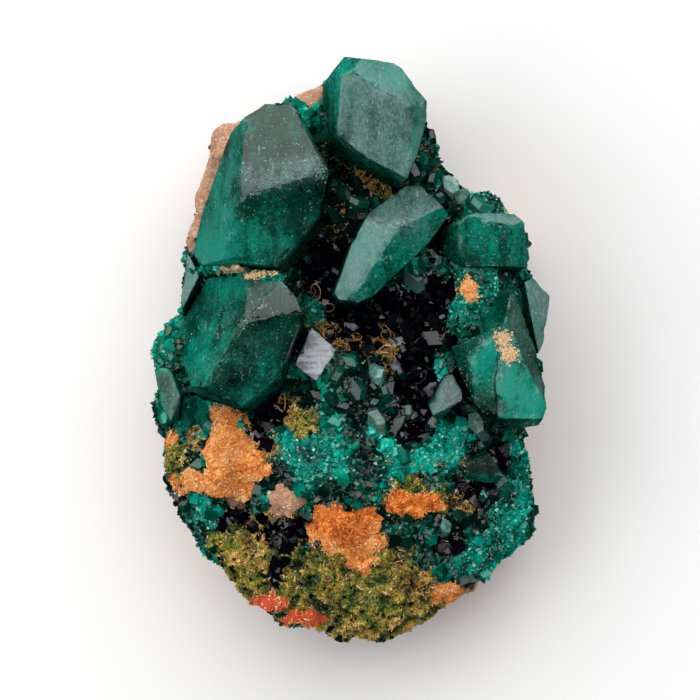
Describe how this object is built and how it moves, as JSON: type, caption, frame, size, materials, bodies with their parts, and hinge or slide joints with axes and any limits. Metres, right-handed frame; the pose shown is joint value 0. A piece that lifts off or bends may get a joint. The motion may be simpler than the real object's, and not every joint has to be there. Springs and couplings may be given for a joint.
{
  "type": "dioptase specimen",
  "caption": "Miniature mineral specimen: stout deep green six-sided crystals standing on a lump of rusty, vuggy host rock coated with small green crystals.",
  "frame": {"origin": "centre of the part's box seen from above, on the flat back that the specimen lies on", "axes": "+Z away from the table, the way the crystals point; +Y along the specimen towards its tallest end; +X across it"},
  "size_m": [0.029, 0.0422, 0.0208],
  "materials": {
    "rock_crust": "rough",
    "crystal_green": "glossy",
    "crystal_dark": "satin"
  },
  "bodies": {
    "root": {"matrix": "rock_crust", "crystal_left_upper": "crystal_green", "crystal_left_lower": "crystal_green", "crystal_left_back": "crystal_green", "crystal_left_edge": "crystal_green", "crystal_top": "crystal_green", "crystal_centre": "crystal_green", "crystal_right_upper": "crystal_green", "crystal_right_back": "crystal_green", "crystal_right_lower": "crystal_green", "crystal_plate": "crystal_dark", "crystal_pocket": "crystal_green", "crystal_lower_right": "crystal_green"}
  },
  "joints": []
}
